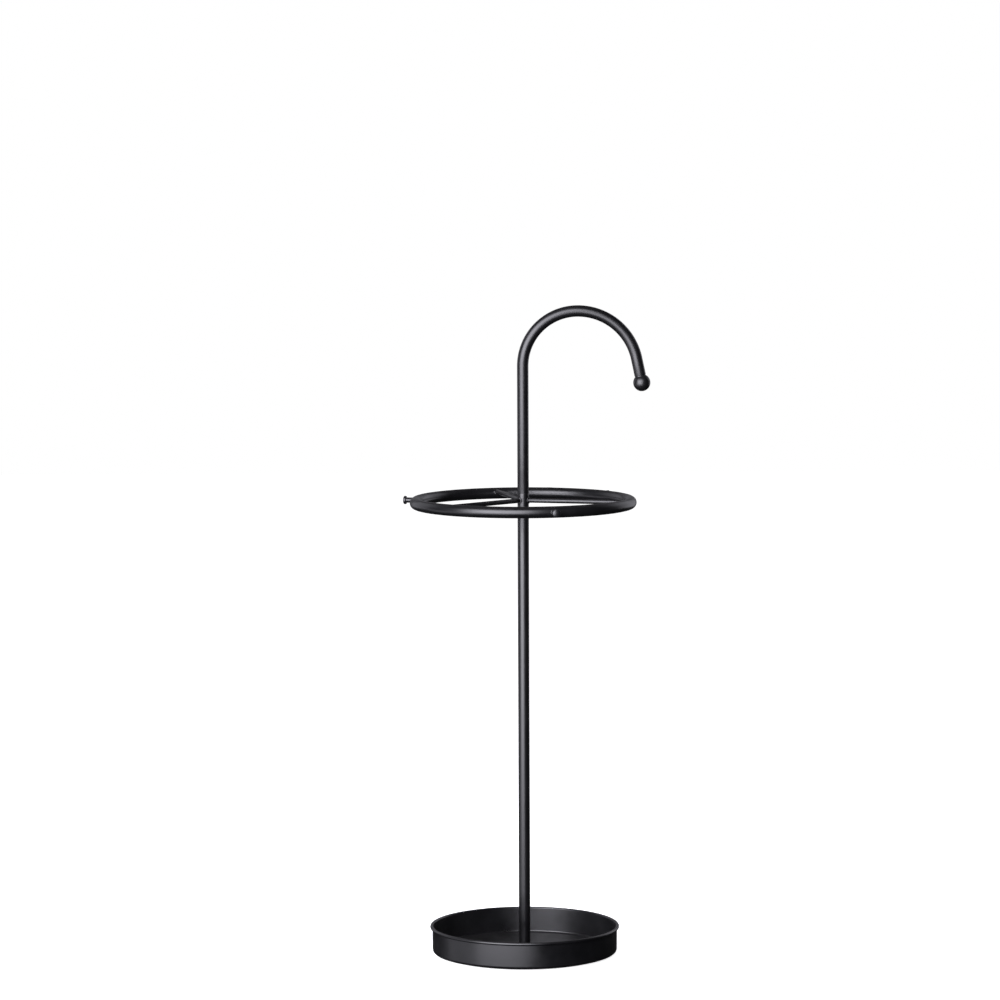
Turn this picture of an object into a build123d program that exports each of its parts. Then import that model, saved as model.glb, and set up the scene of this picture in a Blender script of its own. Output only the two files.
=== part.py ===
from build123d import *
import math
import os

# Umbrella stand: a shallow round tray, a two-piece pole that ends in a hook, and a hoop on
# three spokes with three button pegs. Millimetres, +Z up, origin on the floor under the pole.
# The hook opens towards +X and the front of the stand faces -Y.

# Pole and hook
overall_height = 685.0
tube_d = 12.0
tube_wall = 1.2
hook_bend_radius = 57.5
hook_open_radius = 63.0
hook_open_angle = 78.0
hook_tail = 18.0
ball_d = 18.0
ball_seat = 7.8
ball_neck_d = 11.4
ball_spigot = 12.0

# Hoop, its hub and its spokes
hoop_outer_d = 238.0
hoop_height = 478.5
hoop_tube_d = 12.0
hoop_wall = 1.5
hub_height = 20.0
spoke_d = 5.0
spoke_rise = 2.3
spoke_angles = {"right": -15.0, "back_left": 105.0, "front_left": 225.0}
weld_leg = 1.0

# Button pegs on the outside of the hoop
peg_angles = {"back_right": 45.0, "left": 165.0, "front": 285.0}
peg_reach = 12.0
peg_neck_d = 5.6
peg_head_d = 8.8
peg_head_t = 3.4
peg_dome = 1.2
peg_edge_r = 0.6
peg_spigot_d = 4.0
peg_spigot = 4.0

# Tray of one spun sheet, and the pad under it
tray_d = 200.0
tray_height = 30.0
tray_sheet = 1.2
tray_foot_r = 96.9
tray_wall_r = 97.2
tray_corner_r = 2.5
lip_curl_r = 1.7
boss_top_r = 11.0
boss_foot_r = 15.5
boss_rise = 3.4
boss_bend_r = 2.0
pad_d = 180.0
pad_t = 1.5

# M6 fasteners, with plain shanks in place of threads
thread_r = 3.0
thread_gap = 0.02
clearance_r = 3.3
plug_length = 18.0
insert_length = 24.0
stud_length = 56.0
screw_length = 18.0
screw_head_d = 10.5
screw_head_t = 2.0
socket_size = 4.0
socket_depth = 1.2
washer_d = 18.0
washer_t = 1.0

# Worked out from the sizes above
tube_r = tube_d / 2
bore_r = tube_r - tube_wall
rod_r = spoke_d / 2
hoop_tube_r = hoop_tube_d / 2
hoop_outer_r = hoop_outer_d / 2
hoop_r = hoop_outer_r - hoop_tube_r
hoop_inner_r = hoop_r - hoop_tube_r
spoke_z = hoop_height + spoke_rise
hub_bottom = hoop_height - hub_height / 2
hub_top = hoop_height + hub_height / 2
floor_z = pad_t + tray_sheet / 2
boss_z = floor_z + boss_rise
pole_foot = boss_z + tray_sheet / 2

parts = {}


def column(radius, bottom, top, bore=0.0):
    """Round bar on the Z axis between two heights, or a tube if a bore radius is given."""
    middle = Pos(0, 0, (bottom + top) / 2)
    bar = middle * Cylinder(radius, top - bottom)
    if bore:
        bar -= middle * Cylinder(bore, top - bottom + 2)
    return bar


def radial(solid, angle, height):
    """Lay a solid built along Z on its side, pointing outwards at an angle and a height."""
    return Pos(0, 0, height) * Rot(0, 0, angle) * Rot(0, 90, 0) * solid


def group(solids):
    """Several separate solids that share one node."""
    return Compound(children=[piece for solid in solids for piece in solid.solids()])


def weld(rod_radius, start, end, angle, height, base, grown_base):
    """Collar of weld metal that hugs both a round rod and the surface it stands on."""
    around = radial(column(rod_radius + weld_leg, start, end), angle, height)
    rod = radial(column(rod_radius, start - 1, end + 1), angle, height)
    return (around & grown_base) - base - rod


# Tray: raised centre, flat floor, rounded corner, and a wall whose edge is rolled outwards
lip_z = tray_height - lip_curl_r
lip_r = tray_d / 2 - lip_curl_r
sheet_line = FilletPolyline(
    (clearance_r, 0, boss_z),
    (boss_top_r, 0, boss_z),
    (boss_foot_r, 0, floor_z),
    (tray_foot_r, 0, floor_z),
    (tray_wall_r, 0, lip_z),
    radius=[boss_bend_r, boss_bend_r, tray_corner_r],
)
sheet_face = make_face(offset(sheet_line, amount=tray_sheet / 2, side=Side.BOTH))
pan = revolve(sheet_face, Axis.Z, 360)
curl = Pos(0, 0, lip_z) * Torus(lip_r, lip_curl_r)
parts["tray"] = pan + curl - column(clearance_r, 0, tray_height)
parts["base_pad"] = column(pad_d / 2, 0, pad_t)

# Low-head socket screw and washer in the hollow under the raised centre of the tray
washer_z = boss_z - tray_sheet / 2 - washer_t
head_z = washer_z - screw_head_t
socket = extrude(RegularPolygon(socket_size / math.sqrt(3), 6), socket_depth)
screw_head = column(screw_head_d / 2, head_z, washer_z)
screw_shank = column(thread_r - thread_gap, washer_z, washer_z + screw_length)
parts["base_screw"] = screw_head + screw_shank - Pos(0, 0, head_z) * socket
parts["base_washer"] = column(washer_d / 2, washer_z, washer_z + washer_t, clearance_r)

# Pole: lower tube, the hoop's hub and upper tube, pulled together by one stud
stud_bottom = hoop_height - stud_length / 2
parts["lower_pole"] = column(tube_r, pole_foot, hub_bottom, bore_r)
parts["foot_plug"] = column(bore_r, pole_foot, pole_foot + plug_length, thread_r)
parts["lower_insert"] = column(bore_r, hub_bottom - insert_length, hub_bottom, thread_r)
parts["upper_insert"] = column(bore_r, hub_top, hub_top + insert_length, thread_r)
parts["joint_stud"] = column(thread_r - thread_gap, stud_bottom, stud_bottom + stud_length)
parts["hoop_hub"] = column(tube_r, hub_bottom, hub_top, clearance_r)

# Hook: the upper tube bent over in two arcs, the second one wider, with a short straight tail
open_turn = math.radians(hook_open_angle)
open_run = hook_open_radius * math.sin(open_turn)
open_drop = hook_open_radius * (1 - math.cos(open_turn))
bend_start = Vector(0, 0, overall_height - tube_r - hook_bend_radius)
crown = Vector(hook_bend_radius, 0, overall_height - tube_r)
tail_start = crown + Vector(open_run, 0, -open_drop)
tail_way = Vector(math.cos(open_turn), 0, -math.sin(open_turn))
tube_end = tail_start + tail_way * hook_tail
ball_centre = tube_end + tail_way * ball_seat
hook_path = Wire([
    Edge.make_line(Vector(0, 0, hub_top), bend_start),
    Edge.make_tangent_arc(bend_start, Vector(0, 0, 1), crown),
    Edge.make_tangent_arc(crown, Vector(1, 0, 0), tail_start),
    Edge.make_line(tail_start, tube_end),
])
tube_section = Pos(0, 0, hub_top) * (Circle(tube_r) - Circle(bore_r))
parts["upper_pole_hook"] = sweep(tube_section, path=hook_path)

# Ball on the hook's end, with a neck that seats on the tube and a spigot pressed into it
ball = Sphere(ball_d / 2) + column(ball_neck_d / 2, 0, ball_seat)
ball += column(bore_r, ball_seat, ball_seat + ball_spigot)
parts["hook_ball"] = Pos(tuple(ball_centre)) * Rot(0, hook_open_angle - 90, 0) * ball

# Hoop of rolled tube, and three straight rods welded between it and the hub
ring_place = Pos(0, 0, hoop_height)
ring = ring_place * Torus(hoop_r, hoop_tube_r)
grown_ring = ring_place * Torus(hoop_r, hoop_tube_r + weld_leg)
hub = column(tube_r, hub_bottom, hub_top)
grown_hub = column(tube_r + weld_leg, hub_bottom, hub_top)
hoop = ring - ring_place * Torus(hoop_r, hoop_tube_r - hoop_wall)
hub_welds = []
spoke_end_welds = []
for side, angle in spoke_angles.items():
    rod = radial(column(rod_r, tube_r - 3, hoop_r - 3), angle, spoke_z)
    parts["spoke_" + side] = rod - hub - ring
    hub_welds.append(weld(rod_r, 0, tube_r + 4, angle, spoke_z, hub, grown_hub))
    spoke_end_welds.append(
        weld(rod_r, hoop_inner_r - 4, hoop_r - 1, angle, spoke_z, ring, grown_ring)
    )

# Pegs: turned buttons, each with a spigot in a hole in the outer wall of the hoop
head_r = peg_head_d / 2
head_front = hoop_outer_r + peg_reach
head_back = head_front - peg_head_t
dome_r = (head_r**2 + peg_dome**2) / (2 * peg_dome)
dome = Pos(0, 0, head_front - dome_r) * Sphere(dome_r)
head = column(head_r, head_back, head_front) & dome
head = fillet(head.edges().filter_by(GeomType.CIRCLE), peg_edge_r)
neck = column(peg_neck_d / 2, hoop_outer_r - 3, head_back)
spigot = column(peg_spigot_d / 2, hoop_outer_r - peg_spigot, hoop_outer_r + 1)
peg_welds = []
for side, angle in peg_angles.items():
    pin = radial(spigot, angle, hoop_height)
    hoop -= pin
    parts["peg_" + side] = radial(neck + head, angle, hoop_height) - ring + pin
    peg_welds.append(
        weld(peg_neck_d / 2, hoop_r + 1, head_back - 1, angle, hoop_height, ring, grown_ring)
    )

parts["hoop"] = hoop
parts["hub_welds"] = group(hub_welds)
parts["spoke_end_welds"] = group(spoke_end_welds)
parts["peg_welds"] = group(peg_welds)

os.makedirs("parts", exist_ok=True)
for name, solid in parts.items():
    export_step(solid, "parts/" + name + ".step")
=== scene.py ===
import bmesh
import bpy
import math
from mathutils import Matrix, Vector


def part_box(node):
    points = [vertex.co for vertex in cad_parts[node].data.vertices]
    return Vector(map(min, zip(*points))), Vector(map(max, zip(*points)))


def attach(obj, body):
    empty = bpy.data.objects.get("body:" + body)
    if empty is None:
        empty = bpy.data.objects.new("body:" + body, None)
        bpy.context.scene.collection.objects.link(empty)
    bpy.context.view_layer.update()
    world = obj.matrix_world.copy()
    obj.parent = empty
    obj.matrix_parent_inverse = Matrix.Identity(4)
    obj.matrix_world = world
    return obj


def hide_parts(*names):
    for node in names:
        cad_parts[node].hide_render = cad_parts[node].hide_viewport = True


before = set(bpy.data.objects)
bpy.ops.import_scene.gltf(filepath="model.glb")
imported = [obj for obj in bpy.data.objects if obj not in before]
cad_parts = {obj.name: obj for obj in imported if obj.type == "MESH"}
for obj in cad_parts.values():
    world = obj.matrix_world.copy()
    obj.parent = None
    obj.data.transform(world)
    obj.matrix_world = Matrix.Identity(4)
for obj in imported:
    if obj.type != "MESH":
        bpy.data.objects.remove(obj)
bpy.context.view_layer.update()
body = "root"
mm = 0.001
tolerance = 0.002 * mm
print("stage: frame loaded")


# seen from the front and a little above
cameraSettings = {
    "place": (-0.0243, -4.235, 0.869),
    "lookDown": 5.233,
    "roll": -0.23,
    "lens": 146.0,
    "sensor": 36.0,
    "farthest": 50.0,
}


def addCamera(settings):
    data = bpy.data.cameras.new("studioCamera")
    data.lens = settings["lens"]
    data.sensor_width = settings["sensor"]
    data.clip_end = settings["farthest"]
    camera = bpy.data.objects.new("studioCamera", data)
    camera.location = settings["place"]
    tilt = Matrix.Rotation(math.radians(90 - settings["lookDown"]), 4, "X")
    roll = Matrix.Rotation(math.radians(settings["roll"]), 4, "Z")
    camera.rotation_euler = (tilt @ roll).to_euler()
    bpy.context.scene.collection.objects.link(camera)
    bpy.context.scene.camera = camera


addCamera(cameraSettings)


def deselectAll():
    if bpy.context.object and bpy.context.object.mode != "OBJECT":
        bpy.ops.object.mode_set(mode="OBJECT")
    bpy.ops.object.select_all(action="DESELECT")


def take(name):
    # the primitive just added becomes a named piece, with its place in its mesh
    piece = bpy.context.object
    piece.name = name
    piece.data.name = name
    bpy.ops.object.transform_apply(location=True, rotation=True, scale=True)
    return piece


def pick(piece, test):
    # in edit mode, only the vertices that pass a test are selected
    mesh = bmesh.from_edit_mesh(piece.data)
    for part in (*mesh.faces, *mesh.edges, *mesh.verts):
        part.select = False
    for vert in mesh.verts:
        if test(vert.co):
            vert.select_set(True)
    mesh.select_flush(True)
    bmesh.update_edit_mesh(piece.data)


def edit(piece):
    deselectAll()
    piece.select_set(True)
    bpy.context.view_layer.objects.active = piece
    bpy.ops.object.mode_set(mode="EDIT")


def addModifier(piece, kind, **values):
    deselectAll()
    bpy.context.view_layer.objects.active = piece
    modifier = piece.modifiers.new(kind.lower(), kind)
    for key, value in values.items():
        setattr(modifier, key, value)
    bpy.ops.object.modifier_apply(modifier=modifier.name)


def cleanUp(piece):
    # doubles merged, faces turned outwards
    edit(piece)
    bpy.ops.mesh.select_all(action="SELECT")
    bpy.ops.mesh.remove_doubles(threshold=tolerance)
    bpy.ops.mesh.normals_make_consistent(inside=False)
    bpy.ops.object.mode_set(mode="OBJECT")


def aim(piece, direction, place):
    # a piece built along Z is laid along a direction, at a place
    turn = Vector(direction).to_track_quat("Z", "Y").to_matrix().to_4x4()
    piece.matrix_world = Matrix.Translation(place) @ turn
    deselectAll()
    piece.select_set(True)
    bpy.context.view_layer.objects.active = piece
    bpy.ops.object.transform_apply(location=True, rotation=True, scale=True)


def copyPiece(piece, name):
    twin = piece.copy()
    twin.data = piece.data.copy()
    twin.name = name
    twin.data.name = name
    bpy.context.scene.collection.objects.link(twin)
    return twin


def joinPieces(pieces, name):
    deselectAll()
    for piece in pieces:
        piece.select_set(True)
    bpy.context.view_layer.objects.active = pieces[0]
    bpy.ops.object.join()
    pieces[0].name = name
    pieces[0].data.name = name
    return pieces[0]


def finishPiece(piece, slotName, material, *nodes, smoothAngle=35):
    deselectAll()
    piece.select_set(True)
    bpy.context.view_layer.objects.active = piece
    bpy.ops.object.shade_smooth_by_angle(angle=math.radians(smoothAngle))
    piece.data.materials.clear()
    piece.data.materials.append(material)
    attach(piece, body)
    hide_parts(*nodes)


def arcOutline(centreR, centreZ, radius, fromAngle, toAngle, steps):
    # a round stretch of an outline, with angles counted from straight outwards
    outline = []
    for step in range(steps + 1):
        angle = math.radians(fromAngle + (toAngle - fromAngle) * step / steps)
        outline.append((centreR + radius * math.cos(angle), centreZ + radius * math.sin(angle)))
    return outline


def roundOutline(corners, steps=6):
    # corners are (radius, height, rounding); each rounded one becomes an arc
    outline = [corners[0][:2]]
    for before, corner, after in zip(corners, corners[1:], corners[2:]):
        point = Vector(corner[:2])
        rounding = corner[2]
        if rounding == 0:
            outline.append(tuple(point))
            continue
        back = (Vector(before[:2]) - point).normalized()
        ahead = (Vector(after[:2]) - point).normalized()
        half = back.angle(ahead) / 2
        centre = point + (back + ahead).normalized() * rounding / math.sin(half)
        start = point + back * rounding / math.tan(half) - centre
        end = point + ahead * rounding / math.tan(half) - centre
        sweep = start.angle_signed(end)
        for step in range(steps + 1):
            turn = Matrix.Rotation(-sweep * step / steps, 2)
            outline.append(tuple(centre + turn @ start))
    outline.append(corners[-1][:2])
    return outline


def turnPiece(name, outline, segments):
    # turned by hand: one ring, then extruded, scaled and lifted along the outline
    deselectAll()
    radius, height = outline[0]
    bpy.ops.mesh.primitive_circle_add(vertices=segments, radius=radius, location=(0, 0, height))
    piece = take(name)
    edit(piece)
    bpy.ops.mesh.select_all(action="SELECT")
    for nextRadius, nextHeight in outline[1:]:
        bpy.ops.mesh.extrude_region_move(
            TRANSFORM_OT_translate={"value": (0, 0, nextHeight - height)}
        )
        grow = nextRadius / radius
        bpy.ops.transform.resize(value=(grow, grow, 1), center_override=(0, 0, 0))
        radius, height = nextRadius, nextHeight
    bpy.ops.object.mode_set(mode="OBJECT")
    return piece


def closeRing(piece, height, radius, tipHeight=None):
    # the open ring at a height and radius is drawn together to a point
    edit(piece)
    pick(piece, lambda co: (
        abs(co.z - height) < tolerance and abs(co.xy.length - radius) < tolerance
    ))
    bpy.ops.mesh.extrude_region_move()
    bpy.ops.mesh.merge(type="CENTER")
    if tipHeight is not None:
        bpy.ops.transform.translate(value=(0, 0, tipHeight - height))
    bpy.ops.object.mode_set(mode="OBJECT")


# base colours, roughness from smooth to rough, and depth of the orange peel
coatSettings = {
    "pole": {"dark": 0.0018, "light": 0.0036, "smooth": 0.28, "rough": 0.38, "peel": 0.10},
    "hoop": {"dark": 0.0020, "light": 0.0040, "smooth": 0.26, "rough": 0.36, "peel": 0.12},
    "tray": {"dark": 0.0018, "light": 0.0040, "smooth": 0.24, "rough": 0.38, "peel": 0.12},
}
# the same for every coat
coatPattern = {
    "tint": (1.0, 1.0, 1.16),
    "cloudScale": 48,
    "cloudRange": (0.2, 0.8),
    "peelScale": 750,
    "grainFiner": 4.5,
    "grainInGloss": 0.2,
    "grainInHeight": 0.22,
    "peelDistance": 0.15 * mm,
    "rubAmount": 0.35,
    "rubEdge": (0.54, 0.66),
    "rubScale": 420,
    "rubRange": (0.42, 0.68),
    "rubColour": (0.10, 0.10, 0.105, 1),
    "dustAmount": 0.05,
    "dustFacing": (0.55, 1.0),
    "dustScale": 55,
    "dustColour": (0.30, 0.29, 0.28, 1),
    "dustDulls": 2.0,
}
rubberSettings = {
    "dark": (0.016, 0.016, 0.017, 1),
    "light": (0.034, 0.034, 0.035, 1),
    "smooth": 0.75,
    "rough": 0.95,
    "poreScale": 1400,
    "poreDepth": 0.2 * mm,
    "poreStrength": 0.5,
    "cloudScale": 130,
}
zincSettings = {
    "dark": (0.50, 0.51, 0.53, 1),
    "light": (0.68, 0.69, 0.71, 1),
    "smooth": 0.24,
    "rough": 0.42,
    "lineScale": 260,
    "lineStretch": (1, 1, 14),
    "lineDepth": 0.05 * mm,
    "lineStrength": 0.25,
}


def addNode(tree, kind, inputs=None, **values):
    node = tree.nodes.new(kind)
    for key, value in values.items():
        setattr(node, key, value)
    for label, value in (inputs or {}).items():
        node.inputs[label].default_value = value
    return node


def addRange(tree, limits):
    low, high = limits
    return addNode(tree, "ShaderNodeMapRange", {"From Min": low, "From Max": high})


def wire(tree, source, target):
    tree.links.new(source, target)


def newGroup(name, inputs, outputs):
    tree = bpy.data.node_groups.new(name, "ShaderNodeTree")
    kinds = {"vector": "NodeSocketVector", "color": "NodeSocketColor", "float": "NodeSocketFloat"}
    for label, kind in inputs:
        tree.interface.new_socket(name=label, in_out="INPUT", socket_type=kinds[kind])
    for label, kind in outputs:
        tree.interface.new_socket(name=label, in_out="OUTPUT", socket_type=kinds[kind])
    return tree, addNode(tree, "NodeGroupInput"), addNode(tree, "NodeGroupOutput")


def buildCoatSkin(pattern):
    # powder coat: cloudy colour and gloss, orange peel, and a fine grain on top
    tree, come, go = newGroup(
        "coatSkin",
        [("Vector", "vector"), ("Dark", "color"), ("Light", "color"), ("Smooth", "float"),
         ("Rough", "float"), ("Cloud Scale", "float"), ("Peel Scale", "float")],
        [("Color", "color"), ("Roughness", "float"), ("Height", "float")],
    )
    cloud = addNode(tree, "ShaderNodeTexNoise", {"Detail": 3})
    peel = addNode(tree, "ShaderNodeTexNoise", {"Detail": 1})
    grain = addNode(tree, "ShaderNodeTexNoise", {"Detail": 1})
    grainScale = addNode(tree, "ShaderNodeMath", {1: pattern["grainFiner"]}, operation="MULTIPLY")
    spread = addRange(tree, pattern["cloudRange"])
    tone = addNode(tree, "ShaderNodeMix", data_type="RGBA")
    gloss = addNode(tree, "ShaderNodeMix", data_type="FLOAT")
    glossBlend = addNode(
        tree, "ShaderNodeMath", {1: pattern["grainInGloss"]}, operation="MULTIPLY_ADD"
    )
    finePart = addNode(tree, "ShaderNodeMath", {1: pattern["grainInHeight"]}, operation="MULTIPLY")
    height = addNode(tree, "ShaderNodeMath", operation="ADD")
    for texture in (cloud, peel, grain):
        wire(tree, come.outputs["Vector"], texture.inputs["Vector"])
    wire(tree, come.outputs["Cloud Scale"], cloud.inputs["Scale"])
    wire(tree, come.outputs["Peel Scale"], peel.inputs["Scale"])
    wire(tree, come.outputs["Peel Scale"], grainScale.inputs[0])
    wire(tree, grainScale.outputs[0], grain.inputs["Scale"])
    wire(tree, cloud.outputs["Fac"], spread.inputs["Value"])
    wire(tree, spread.outputs["Result"], tone.inputs["Factor"])
    wire(tree, come.outputs["Dark"], tone.inputs["A"])
    wire(tree, come.outputs["Light"], tone.inputs["B"])
    wire(tree, grain.outputs["Fac"], glossBlend.inputs[0])
    wire(tree, spread.outputs["Result"], glossBlend.inputs[2])
    wire(tree, glossBlend.outputs[0], gloss.inputs["Factor"])
    wire(tree, come.outputs["Smooth"], gloss.inputs["A"])
    wire(tree, come.outputs["Rough"], gloss.inputs["B"])
    wire(tree, grain.outputs["Fac"], finePart.inputs[0])
    wire(tree, peel.outputs["Fac"], height.inputs[0])
    wire(tree, finePart.outputs[0], height.inputs[1])
    wire(tree, tone.outputs["Result"], go.inputs["Color"])
    wire(tree, gloss.outputs["Result"], go.inputs["Roughness"])
    wire(tree, height.outputs[0], go.inputs["Height"])
    return tree


def buildEdgeRub(pattern):
    # coat rubbed thin along sharp edges, broken up so that it isn't an even line
    tree, come, go = newGroup(
        "edgeRub",
        [("Vector", "vector"), ("Amount", "float"), ("Break Scale", "float")],
        [("Mask", "float")],
    )
    shape = addNode(tree, "ShaderNodeNewGeometry")
    edge = addRange(tree, pattern["rubEdge"])
    breakUp = addNode(tree, "ShaderNodeTexNoise", {"Detail": 4})
    breakRange = addRange(tree, pattern["rubRange"])
    both = addNode(tree, "ShaderNodeMath", operation="MULTIPLY")
    scaled = addNode(tree, "ShaderNodeMath", operation="MULTIPLY")
    wire(tree, shape.outputs["Pointiness"], edge.inputs["Value"])
    wire(tree, come.outputs["Vector"], breakUp.inputs["Vector"])
    wire(tree, come.outputs["Break Scale"], breakUp.inputs["Scale"])
    wire(tree, breakUp.outputs["Fac"], breakRange.inputs["Value"])
    wire(tree, edge.outputs["Result"], both.inputs[0])
    wire(tree, breakRange.outputs["Result"], both.inputs[1])
    wire(tree, both.outputs[0], scaled.inputs[0])
    wire(tree, come.outputs["Amount"], scaled.inputs[1])
    wire(tree, scaled.outputs[0], go.inputs["Mask"])
    return tree


def buildSettledDust(pattern):
    # a trace of dust that lies on surfaces that face up
    tree, come, go = newGroup(
        "settledDust",
        [("Vector", "vector"), ("Amount", "float"), ("Patch Scale", "float")],
        [("Mask", "float")],
    )
    shape = addNode(tree, "ShaderNodeNewGeometry")
    split = addNode(tree, "ShaderNodeSeparateXYZ")
    upward = addRange(tree, pattern["dustFacing"])
    patches = addNode(tree, "ShaderNodeTexNoise", {"Detail": 6})
    both = addNode(tree, "ShaderNodeMath", operation="MULTIPLY")
    scaled = addNode(tree, "ShaderNodeMath", operation="MULTIPLY")
    wire(tree, shape.outputs["Normal"], split.inputs[0])
    wire(tree, split.outputs["Z"], upward.inputs["Value"])
    wire(tree, come.outputs["Vector"], patches.inputs["Vector"])
    wire(tree, come.outputs["Patch Scale"], patches.inputs["Scale"])
    wire(tree, upward.outputs["Result"], both.inputs[0])
    wire(tree, patches.outputs["Fac"], both.inputs[1])
    wire(tree, both.outputs[0], scaled.inputs[0])
    wire(tree, come.outputs["Amount"], scaled.inputs[1])
    wire(tree, scaled.outputs[0], go.inputs["Mask"])
    return tree


coatSkin = buildCoatSkin(coatPattern)
edgeRub = buildEdgeRub(coatPattern)
settledDust = buildSettledDust(coatPattern)


def newMaterial(name):
    material = bpy.data.materials.new(name)
    material.use_nodes = True
    tree = material.node_tree
    return material, tree, tree.nodes["Principled BSDF"], addNode(tree, "ShaderNodeTexCoord")


def placeGroup(tree, group, place, inputs):
    node = addNode(tree, "ShaderNodeGroup", inputs, node_tree=group)
    wire(tree, place.outputs["Object"], node.inputs["Vector"])
    return node


def tinted(value, tint):
    return (*(value * channel for channel in tint), 1)


def makeCoat(name, settings, pattern):
    material, tree, shader, place = newMaterial(name)
    skin = placeGroup(tree, coatSkin, place, {
        "Dark": tinted(settings["dark"], pattern["tint"]),
        "Light": tinted(settings["light"], pattern["tint"]),
        "Smooth": settings["smooth"],
        "Rough": settings["rough"],
        "Cloud Scale": pattern["cloudScale"],
        "Peel Scale": pattern["peelScale"],
    })
    rub = placeGroup(tree, edgeRub, place, {
        "Amount": pattern["rubAmount"],
        "Break Scale": pattern["rubScale"],
    })
    dust = placeGroup(tree, settledDust, place, {
        "Amount": pattern["dustAmount"],
        "Patch Scale": pattern["dustScale"],
    })
    rubbed = addNode(tree, "ShaderNodeMix", {"B": pattern["rubColour"]}, data_type="RGBA")
    dusted = addNode(tree, "ShaderNodeMix", {"B": pattern["dustColour"]}, data_type="RGBA")
    dullness = addNode(
        tree, "ShaderNodeMath", {1: pattern["dustDulls"]}, operation="MULTIPLY_ADD"
    )
    bump = addNode(
        tree, "ShaderNodeBump", {"Strength": settings["peel"], "Distance": pattern["peelDistance"]}
    )
    wire(tree, rub.outputs["Mask"], rubbed.inputs["Factor"])
    wire(tree, skin.outputs["Color"], rubbed.inputs["A"])
    wire(tree, dust.outputs["Mask"], dusted.inputs["Factor"])
    wire(tree, rubbed.outputs["Result"], dusted.inputs["A"])
    wire(tree, dusted.outputs["Result"], shader.inputs["Base Color"])
    wire(tree, dust.outputs["Mask"], dullness.inputs[0])
    wire(tree, skin.outputs["Roughness"], dullness.inputs[2])
    wire(tree, dullness.outputs[0], shader.inputs["Roughness"])
    wire(tree, skin.outputs["Height"], bump.inputs["Height"])
    wire(tree, bump.outputs["Normal"], shader.inputs["Normal"])
    return material


def makeRubber(settings):
    # closed-cell foam rubber: matt, with small pores
    material, tree, shader, place = newMaterial("foamRubber")
    pores = addNode(tree, "ShaderNodeTexVoronoi", {"Scale": settings["poreScale"]})
    clouds = addNode(tree, "ShaderNodeTexNoise", {"Scale": settings["cloudScale"]})
    tone = addNode(
        tree, "ShaderNodeMix", {"A": settings["dark"], "B": settings["light"]}, data_type="RGBA"
    )
    matt = addNode(
        tree, "ShaderNodeMapRange", {"To Min": settings["smooth"], "To Max": settings["rough"]}
    )
    bump = addNode(
        tree, "ShaderNodeBump",
        {"Strength": settings["poreStrength"], "Distance": settings["poreDepth"]},
    )
    wire(tree, place.outputs["Object"], pores.inputs["Vector"])
    wire(tree, place.outputs["Object"], clouds.inputs["Vector"])
    wire(tree, clouds.outputs["Fac"], tone.inputs["Factor"])
    wire(tree, clouds.outputs["Fac"], matt.inputs["Value"])
    wire(tree, pores.outputs["Distance"], bump.inputs["Height"])
    wire(tree, tone.outputs["Result"], shader.inputs["Base Color"])
    wire(tree, matt.outputs["Result"], shader.inputs["Roughness"])
    wire(tree, bump.outputs["Normal"], shader.inputs["Normal"])
    return material


def makeZincSteel(settings):
    # bright zinc plate over turned steel, for the hidden fasteners
    material, tree, shader, place = newMaterial("zincSteel")
    stretch = addNode(tree, "ShaderNodeMapping", {"Scale": settings["lineStretch"]})
    lines = addNode(tree, "ShaderNodeTexNoise", {"Scale": settings["lineScale"], "Detail": 4})
    tone = addNode(
        tree, "ShaderNodeMix", {"A": settings["dark"], "B": settings["light"]}, data_type="RGBA"
    )
    gloss = addNode(
        tree, "ShaderNodeMapRange", {"To Min": settings["smooth"], "To Max": settings["rough"]}
    )
    bump = addNode(
        tree, "ShaderNodeBump",
        {"Strength": settings["lineStrength"], "Distance": settings["lineDepth"]},
    )
    wire(tree, place.outputs["Object"], stretch.inputs["Vector"])
    wire(tree, stretch.outputs["Vector"], lines.inputs["Vector"])
    wire(tree, lines.outputs["Fac"], tone.inputs["Factor"])
    wire(tree, lines.outputs["Fac"], gloss.inputs["Value"])
    wire(tree, lines.outputs["Fac"], bump.inputs["Height"])
    wire(tree, tone.outputs["Result"], shader.inputs["Base Color"])
    wire(tree, gloss.outputs["Result"], shader.inputs["Roughness"])
    wire(tree, bump.outputs["Normal"], shader.inputs["Normal"])
    shader.inputs["Metallic"].default_value = 1.0
    return material


poleCoat = makeCoat("poleCoat", coatSettings["pole"], coatPattern)
hoopCoat = makeCoat("hoopCoat", coatSettings["hoop"], coatPattern)
trayCoat = makeCoat("trayCoat", coatSettings["tray"], coatPattern)
foamRubber = makeRubber(rubberSettings)
zincSteel = makeZincSteel(zincSettings)
print("stage: finishes made")


# drip tray, one spun sheet with a raised centre and an edge rolled outwards
traySettings = {
    "sheet": 1.2 * mm,
    "holeRadius": 3.3 * mm,
    "bossTopRadius": 11.0 * mm,
    "bossFootRadius": 15.5 * mm,
    "bossRise": 3.4 * mm,
    "bossRounding": 2.0 * mm,
    "footRadius": 96.9 * mm,
    "cornerRounding": 2.5 * mm,
    "curlRadius": 1.7 * mm,
    "curlFrom": 180,
    "curlTo": -130,
    "curlSteps": 26,
    "segments": 192,
}


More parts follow.
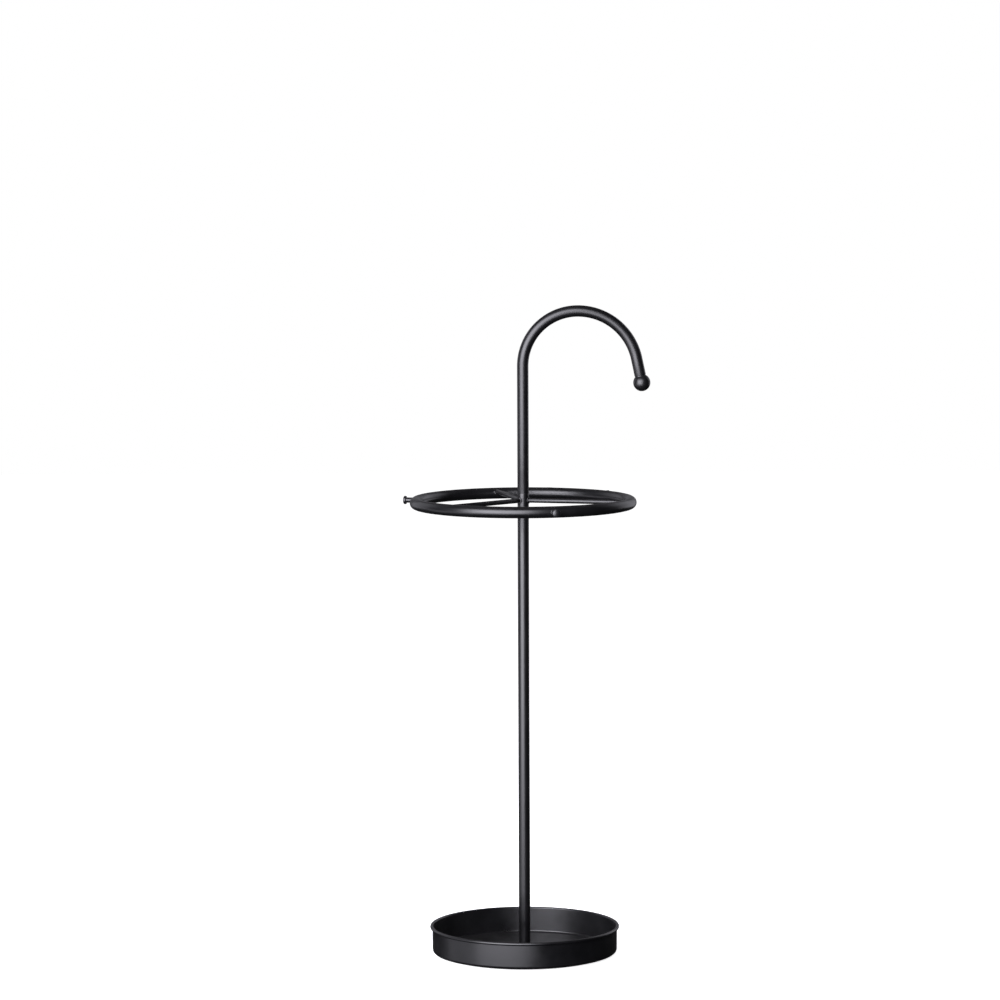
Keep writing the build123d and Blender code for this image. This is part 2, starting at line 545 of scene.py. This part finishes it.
def makeTray(settings):
    low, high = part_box("tray")
    half = settings["sheet"] / 2
    floorHeight = low.z + half
    bossHeight = floorHeight + settings["bossRise"]
    curl = settings["curlRadius"]
    curlArc = arcOutline(
        high.x - curl, high.z - curl, curl - half,
        settings["curlFrom"], settings["curlTo"], settings["curlSteps"],
    )
    outline = roundOutline([
        (settings["holeRadius"], bossHeight, 0),
        (settings["bossTopRadius"], bossHeight, settings["bossRounding"]),
        (settings["bossFootRadius"], floorHeight, settings["bossRounding"]),
        (settings["footRadius"], floorHeight, settings["cornerRounding"]),
        (*curlArc[0], 0),
    ])
    tray = turnPiece("dripTray", outline + curlArc[1:], settings["segments"])
    cleanUp(tray)
    addModifier(tray, "SOLIDIFY", thickness=settings["sheet"], offset=0, use_even_offset=True)
    finishPiece(tray, "tray_coat", trayCoat, "tray")


makeTray(traySettings)

padSettings = {
    "edgeRounding": 0.5 * mm,
    "middle": 20.0 * mm,
    "segments": 160,
}


def makeBasePad(settings):
    low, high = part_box("base_pad")
    outline = roundOutline([
        (settings["middle"], low.z, 0),
        (high.x, low.z, settings["edgeRounding"]),
        (high.x, high.z, settings["edgeRounding"]),
        (settings["middle"], high.z, 0),
    ], steps=4)
    pad = turnPiece("basePad", outline, settings["segments"])
    closeRing(pad, low.z, settings["middle"])
    closeRing(pad, high.z, settings["middle"])
    cleanUp(pad)
    finishPiece(pad, "pad_rubber", foamRubber, "base_pad")


makeBasePad(padSettings)
print("stage: tray and pad made")


# pole: lower tube, hub, and the upper tube that is bent over into the hook
poleSettings = {
    "wall": 1.2 * mm,
    "hubWall": 2.7 * mm,
    "endRounding": 0.3 * mm,
    "endSteps": 3,
    "segments": 64,
}


def thickenTube(tube, wall, settings):
    cleanUp(tube)
    addModifier(tube, "SOLIDIFY", thickness=wall, offset=-1, use_even_offset=True)
    addModifier(
        tube, "BEVEL", width=settings["endRounding"], segments=settings["endSteps"],
        limit_method="ANGLE",
    )


def makeStraightTube(name, node, wall, settings):
    low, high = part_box(node)
    deselectAll()
    bpy.ops.mesh.primitive_cylinder_add(
        vertices=settings["segments"], radius=high.x, depth=high.z - low.z,
        end_fill_type="NOTHING", location=(0, 0, (low.z + high.z) / 2),
    )
    tube = take(name)
    thickenTube(tube, wall, settings)
    finishPiece(tube, "pole_coat", poleCoat, node)


makeStraightTube("lowerPole", "lower_pole", poleSettings["wall"], poleSettings)
makeStraightTube("poleHub", "hoop_hub", poleSettings["hubWall"], poleSettings)

hookSettings = {
    "bendRadius": 57.5 * mm,
    "bendSteps": 48,
    "openRadius": 63.0 * mm,
    "openAngle": 78.0,
    "openSteps": 42,
    "tail": 18.0 * mm,
}


def makeHook(settings, pole):
    low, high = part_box("upper_pole_hook")
    tubeRadius = high.y
    bendHeight = high.z - tubeRadius - settings["bendRadius"]
    openHeight = high.z - tubeRadius - settings["openRadius"]
    turn = math.radians(settings["openAngle"])
    tailMove = Vector((math.cos(turn), 0, -math.sin(turn))) * settings["tail"]
    deselectAll()
    bpy.ops.mesh.primitive_circle_add(
        vertices=pole["segments"], radius=tubeRadius, location=(0, 0, low.z)
    )
    hook = take("upperPoleHook")
    edit(hook)
    bpy.ops.mesh.select_all(action="SELECT")
    bpy.ops.mesh.extrude_region_move(
        TRANSFORM_OT_translate={"value": (0, 0, bendHeight - low.z)}
    )
    bpy.ops.mesh.spin(
        steps=settings["bendSteps"], angle=-math.radians(90),
        center=(settings["bendRadius"], 0, bendHeight), axis=(0, 1, 0),
    )
    bpy.ops.mesh.spin(
        steps=settings["openSteps"], angle=-turn,
        center=(settings["bendRadius"], 0, openHeight), axis=(0, 1, 0),
    )
    bpy.ops.mesh.extrude_region_move(TRANSFORM_OT_translate={"value": tuple(tailMove)})
    bpy.ops.object.mode_set(mode="OBJECT")
    thickenTube(hook, pole["wall"], pole)
    finishPiece(hook, "pole_coat", poleCoat, "upper_pole_hook")


makeHook(hookSettings, poleSettings)

ballSettings = {
    "radius": 9.0 * mm,
    "neckRadius": 5.7 * mm,
    "seat": 7.8 * mm,
    "spigotRadius": 4.75 * mm,
    "spigot": 12.0 * mm,
    "spigotMiddle": 0.5 * mm,
    "neckFillet": 0.4 * mm,
    "seatRounding": 0.15 * mm,
    "spigotRounding": 0.3 * mm,
    "tipAngle": 3.0,
    "filletAngle": 4.0,
    "ballSteps": 40,
    "segments": 64,
}


def makeHookBall(settings, hook):
    # turned in one piece with its neck and spigot, then laid along the hook's tail
    low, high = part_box("hook_ball")
    radius = settings["radius"]
    centre = Vector((high.x - radius, 0, low.z + radius))
    neckAngle = math.degrees(math.acos(settings["neckRadius"] / radius))
    neckHeight = math.sqrt(radius**2 - settings["neckRadius"]**2)
    # the ball's arc stops short of its tip and of the fillet where the neck begins
    ballArc = arcOutline(
        0, 0, radius, settings["tipAngle"] - 90, neckAngle - settings["filletAngle"],
        settings["ballSteps"],
    )
    spigotTop = settings["seat"] + settings["spigot"]
    outline = roundOutline([
        (*ballArc[-1], 0),
        (settings["neckRadius"], neckHeight, settings["neckFillet"]),
        (settings["neckRadius"], settings["seat"], settings["seatRounding"]),
        (settings["spigotRadius"], settings["seat"], 0),
        (settings["spigotRadius"], spigotTop, settings["spigotRounding"]),
        (settings["spigotMiddle"], spigotTop, 0),
    ], steps=4)
    ball = turnPiece("hookBall", ballArc[:-1] + outline, settings["segments"])
    tipRadius, tipHeight = ballArc[0]
    closeRing(ball, tipHeight, tipRadius, -radius)
    closeRing(ball, spigotTop, settings["spigotMiddle"])
    cleanUp(ball)
    turn = math.radians(hook["openAngle"])
    backUpTail = (-math.cos(turn), 0, math.sin(turn))
    aim(ball, backUpTail, centre)
    finishPiece(ball, "pole_coat", poleCoat, "hook_ball")


makeHookBall(ballSettings, hookSettings)
print("stage: pole and hook made")


# hoop of rolled tube, three rods to the hub, and three turned pegs
hoopSettings = {
    "tubeRadius": 6.0 * mm,
    "aroundSegments": 288,
    "tubeSegments": 40,
    "jointAngle": 75.0,
    "jointWidth": 1.2,
    "jointHeight": 0.12 * mm,
}


def makeHoop(settings):
    low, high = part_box("hoop")
    deselectAll()
    bpy.ops.mesh.primitive_torus_add(
        major_segments=settings["aroundSegments"], minor_segments=settings["tubeSegments"],
        major_radius=high.x - settings["tubeRadius"], minor_radius=settings["tubeRadius"],
        location=(0, 0, (low.z + high.z) / 2),
    )
    hoop = take("hoopRing")
    cleanUp(hoop)
    # the butt joint of the ring, ground down but still just there, behind the pole
    edit(hoop)
    pick(hoop, lambda co: (
        abs(math.degrees(math.atan2(co.y, co.x)) - settings["jointAngle"]) < settings["jointWidth"]
    ))
    bpy.ops.transform.shrink_fatten(value=settings["jointHeight"])
    bpy.ops.object.mode_set(mode="OBJECT")
    finishPiece(hoop, "ring_coat", hoopCoat, "hoop")


makeHoop(hoopSettings)


def camelName(node):
    first, *rest = node.split("_")
    return first + "".join(word.title() for word in rest)


angleStep = 15  # the rods and pegs point at multiples of this many degrees


def angleOf(node):
    low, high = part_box(node)
    middle = (low + high) / 2
    steps = round(math.degrees(math.atan2(middle.y, middle.x)) / angleStep)
    return math.radians(angleStep * steps)


spokeSettings = {
    "radius": 2.5 * mm,
    "from": 4.5 * mm,
    "to": 111.0 * mm,
    "endRounding": 0.4 * mm,
    "segments": 32,
    "nodes": ("spoke_right", "spoke_back_left", "spoke_front_left"),
}


def makeSpokes(settings):
    length = settings["to"] - settings["from"]
    deselectAll()
    bpy.ops.mesh.primitive_cylinder_add(
        vertices=settings["segments"], radius=settings["radius"], depth=length,
        location=(0, 0, settings["from"] + length / 2),
    )
    rod = take("rod")
    addModifier(rod, "BEVEL", width=settings["endRounding"], segments=2, limit_method="ANGLE")
    for node in settings["nodes"]:
        low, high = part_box(node)
        angle = angleOf(node)
        spoke = copyPiece(rod, camelName(node))
        aim(spoke, (math.cos(angle), math.sin(angle), 0), (0, 0, (low.z + high.z) / 2))
        finishPiece(spoke, "ring_coat", hoopCoat, node)
    bpy.data.objects.remove(rod)


makeSpokes(spokeSettings)

pegSettings = {
    "reach": 12.0 * mm,
    "neckRadius": 2.8 * mm,
    "headRadius": 4.4 * mm,
    "headThickness": 3.4 * mm,
    "domeRise": 1.2 * mm,
    "edgeRounding": 0.6 * mm,
    "neckFillet": 0.4 * mm,
    "buried": 3.0 * mm,
    "domeTo": 88,
    "domeSteps": 12,
    "domeSkip": 3,
    "segments": 48,
    "nodes": ("peg_back_right", "peg_left", "peg_front"),
}


def makePegs(settings):
    low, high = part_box("hoop")
    head = settings["headRadius"]
    rise = settings["domeRise"]
    front = high.x + settings["reach"]
    back = front - settings["headThickness"]
    foot = high.x - settings["buried"]
    domeRadius = (head**2 + rise**2) / (2 * rise)
    edgeAngle = math.degrees(math.acos(head / domeRadius))
    dome = arcOutline(
        0, front - domeRadius, domeRadius, edgeAngle, settings["domeTo"], settings["domeSteps"]
    )
    # the dome's first steps give way to the rounded edge of the head
    skip = settings["domeSkip"]
    outline = roundOutline([
        (settings["neckRadius"], foot, 0),
        (settings["neckRadius"], back, settings["neckFillet"]),
        (head, back, settings["edgeRounding"]),
        (*dome[0], settings["edgeRounding"]),
        (*dome[skip], 0),
    ], steps=5)
    peg = turnPiece("peg", outline + dome[skip + 1:], settings["segments"])
    topRadius, topHeight = dome[-1]
    closeRing(peg, foot, settings["neckRadius"])
    closeRing(peg, topHeight, topRadius, front)
    cleanUp(peg)
    for node in settings["nodes"]:
        angle = angleOf(node)
        twin = copyPiece(peg, camelName(node))
        aim(twin, (math.cos(angle), math.sin(angle), 0), (0, 0, (low.z + high.z) / 2))
        finishPiece(twin, "ring_coat", hoopCoat, node)
    bpy.data.objects.remove(peg)


makePegs(pegSettings)

weldSettings = {
    "ringGap": 0.05 * mm,
    "beadRadius": 0.85 * mm,
    "aroundSegments": 72,
    "beadSegments": 14,
    "ripples": 11,
    "rippleHeight": 0.10,
    "swells": 3,
    "swellHeight": 0.05,
    "swellTurn": 1.0,
    "smoothAngle": 60,
}


def makeBead(name, rodRadius, settings):
    # a rippled ring of weld metal round a rod, still flat
    ringRadius = rodRadius + settings["ringGap"]
    deselectAll()
    bpy.ops.mesh.primitive_torus_add(
        major_segments=settings["aroundSegments"], minor_segments=settings["beadSegments"],
        major_radius=ringRadius, minor_radius=settings["beadRadius"],
    )
    bead = take(name)
    for vert in bead.data.vertices:
        around = math.atan2(vert.co.y, vert.co.x)
        ring = Vector((math.cos(around), math.sin(around), 0)) * ringRadius
        size = 1 + settings["rippleHeight"] * math.sin(settings["ripples"] * around)
        swell = math.sin(settings["swells"] * around + settings["swellTurn"])
        size += settings["swellHeight"] * swell
        vert.co = ring + (vert.co - ring) * size
    return bead


def layBead(bead, name, way, foot, radius, across, sink):
    # a copy is laid where its rod meets a round surface, and sinks to follow that surface;
    # across gives how far a point is from the middle of the surface
    laid = copyPiece(bead, name)
    aim(laid, way, foot)
    for vert in laid.data.vertices:
        offset = across(vert.co)
        vert.co += sink * (radius - math.sqrt(max(radius**2 - offset**2, 0)))
    return laid


def makeWelds(settings, hoop, spokes, pegs):
    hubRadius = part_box("hoop_hub")[1].x
    hoopLow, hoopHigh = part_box("hoop")
    hoopHeight = (hoopLow.z + hoopHigh.z) / 2
    hoopOuter = hoopHigh.x
    tube = hoop["tubeRadius"]
    rodBead = makeBead("rodBead", spokes["radius"], settings)
    neckBead = makeBead("neckBead", pegs["neckRadius"], settings)
    hubBeads = []
    endBeads = []
    pegBeads = []

    def acrossHoop(place):
        return place.z - hoopHeight

    for node in spokes["nodes"]:
        low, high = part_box(node)
        lift = Vector((0, 0, (low.z + high.z) / 2))
        angle = angleOf(node)
        way = Vector((math.cos(angle), math.sin(angle), 0))
        side = Vector((-way.y, way.x, 0))
        hubFoot = lift + way * hubRadius
        endFoot = lift + way * (hoopOuter - 2 * tube)
        hubBeads.append(layBead(rodBead, "hubBead", way, hubFoot, hubRadius, side.dot, -way))
        endBeads.append(layBead(rodBead, "endBead", way, endFoot, tube, acrossHoop, way))
    for node in pegs["nodes"]:
        angle = angleOf(node)
        way = Vector((math.cos(angle), math.sin(angle), 0))
        pegFoot = Vector((0, 0, hoopHeight)) + way * hoopOuter
        pegBeads.append(layBead(neckBead, "pegBead", way, pegFoot, tube, acrossHoop, -way))
    bpy.data.objects.remove(rodBead)
    bpy.data.objects.remove(neckBead)
    for beads, name, node in (
        (hubBeads, "hubWelds", "hub_welds"),
        (endBeads, "spokeEndWelds", "spoke_end_welds"),
        (pegBeads, "pegWelds", "peg_welds"),
    ):
        group = joinPieces(beads, name)
        cleanUp(group)
        finishPiece(group, "ring_coat", hoopCoat, node, smoothAngle=settings["smoothAngle"])


makeWelds(weldSettings, hoopSettings, spokeSettings, pegSettings)
print("stage: hoop, rods, pegs and welds made")


# hidden fasteners keep their own shape and get a zinc finish
fasteners = ("base_screw", "base_washer", "foot_plug", "lower_insert", "upper_insert", "joint_stud")
for node in fasteners:
    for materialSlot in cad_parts[node].material_slots:
        materialSlot.material = zincSteel


# studio: white floor and surroundings, and soft lights given by where they stand
studioSettings = {
    "floorSize": 12.0,
    "floorGap": 0.4 * mm,
    "floorColour": (0.9, 0.9, 0.9, 1),
    "floorRoughness": 0.9,
    # the floor's emission near the stand is lowered, a painted shade round its foot
    "paintedShadeGlow": 0.86,
    "nearDistance": 0.15,
    "farGlow": 1.02,
    "farDistance": 0.60,
    "surroundings": 0.015,
    "lightTint": (0.98, 0.97, 1.06),
    "aimHeight": 0.4,
}
# angles are counted from the camera's side round to the left, sizes are in metres
lightSettings = {
    "keyLight": {
        "angle": 27, "away": 2.30, "height": 0.85, "wide": 3.6, "tall": 3.8, "radiance": 3.5,
    },
    "keyMiddle": {
        "angle": 26, "away": 2.25, "height": 0.98, "wide": 2.5, "tall": 2.6, "radiance": 4.8,
    },
    "keyCore": {
        "angle": 30, "away": 2.20, "height": 1.00, "wide": 1.2, "tall": 1.2, "radiance": 2.5,
    },
    "leftLight": {
        "angle": 82, "away": 2.0, "height": -0.35, "wide": 2.2, "tall": 0.9, "radiance": 0.9,
    },
    "backRightLight": {
        "angle": -135, "away": 2.2, "height": 0.9, "wide": 1.8, "tall": 2.0, "radiance": 0.9,
    },
    "backLeftLight": {
        "angle": 130, "away": 2.2, "height": 0.9, "wide": 1.8, "tall": 2.0, "radiance": 0.7,
    },
    "backLight": {
        "angle": 180, "away": 2.2, "height": 0.50, "wide": 1.3, "tall": 2.0, "radiance": 0.3,
    },
}


def makeFloor(settings):
    # it shines white by itself, dimmer near the stand as painted shade round its foot, and takes no
    # part in reflections
    deselectAll()
    bpy.ops.mesh.primitive_plane_add(
        size=settings["floorSize"], location=(0, 0, -settings["floorGap"])
    )
    floor = take("studioFloor")
    material, tree, shader, place = newMaterial("studioWhite")
    shader.inputs["Base Color"].default_value = settings["floorColour"]
    shader.inputs["Roughness"].default_value = settings["floorRoughness"]
    shader.inputs["Emission Strength"].default_value = 1.0
    distance = addNode(tree, "ShaderNodeVectorMath", operation="LENGTH")
    # emission falls off towards the stand: painted shade
    emissionWithPaintedShade = addNode(tree, "ShaderNodeMapRange", {
        "From Min": settings["nearDistance"], "From Max": settings["farDistance"],
        "To Min": settings["paintedShadeGlow"], "To Max": settings["farGlow"],
    })
    wire(tree, place.outputs["Object"], distance.inputs[0])
    wire(tree, distance.outputs["Value"], emissionWithPaintedShade.inputs["Value"])
    wire(tree, emissionWithPaintedShade.outputs["Result"], shader.inputs["Emission Color"])
    floor.data.materials.append(material)
    floor.visible_glossy = False
    floor.visible_diffuse = False
    floor.visible_shadow = False


def makeSurroundings(settings):
    # white to the camera, nearly black to everything that reflects it
    white = (1, 1, 1, 1)
    world = bpy.data.worlds.new("studio")
    world.use_nodes = True
    tree = world.node_tree
    dim = tree.nodes["Background"]
    dim.inputs["Color"].default_value = white
    dim.inputs["Strength"].default_value = settings["surroundings"]
    bright = addNode(tree, "ShaderNodeBackground", {"Color": white})
    rays = addNode(tree, "ShaderNodeLightPath")
    blend = addNode(tree, "ShaderNodeMixShader")
    wire(tree, rays.outputs["Is Camera Ray"], blend.inputs["Fac"])
    wire(tree, dim.outputs[0], blend.inputs[1])
    wire(tree, bright.outputs[0], blend.inputs[2])
    wire(tree, blend.outputs[0], tree.nodes["World Output"].inputs["Surface"])
    bpy.context.scene.world = world
    bpy.context.scene.view_settings.view_transform = "Standard"


def makeLight(name, light, settings):
    angle = math.radians(light["angle"])
    place = Vector((-math.sin(angle), -math.cos(angle), 0)) * light["away"]
    place.z = light["height"]
    data = bpy.data.lights.new(name, "AREA")
    data.shape = "RECTANGLE"
    data.size = light["wide"]
    data.size_y = light["tall"]
    data.energy = light["radiance"] * math.pi * light["wide"] * light["tall"]
    data.color = settings["lightTint"]
    lamp = bpy.data.objects.new(name, data)
    lamp.location = place
    # a lamp shines along its own -Z, level or down towards the middle of the stand
    backwards = place - Vector((0, 0, min(light["height"], settings["aimHeight"])))
    lamp.rotation_euler = backwards.to_track_quat("Z", "Y").to_euler()
    bpy.context.scene.collection.objects.link(lamp)


makeFloor(studioSettings)
makeSurroundings(studioSettings)
for lightName, light in lightSettings.items():
    makeLight(lightName, light, studioSettings)
print("stage: studio made")
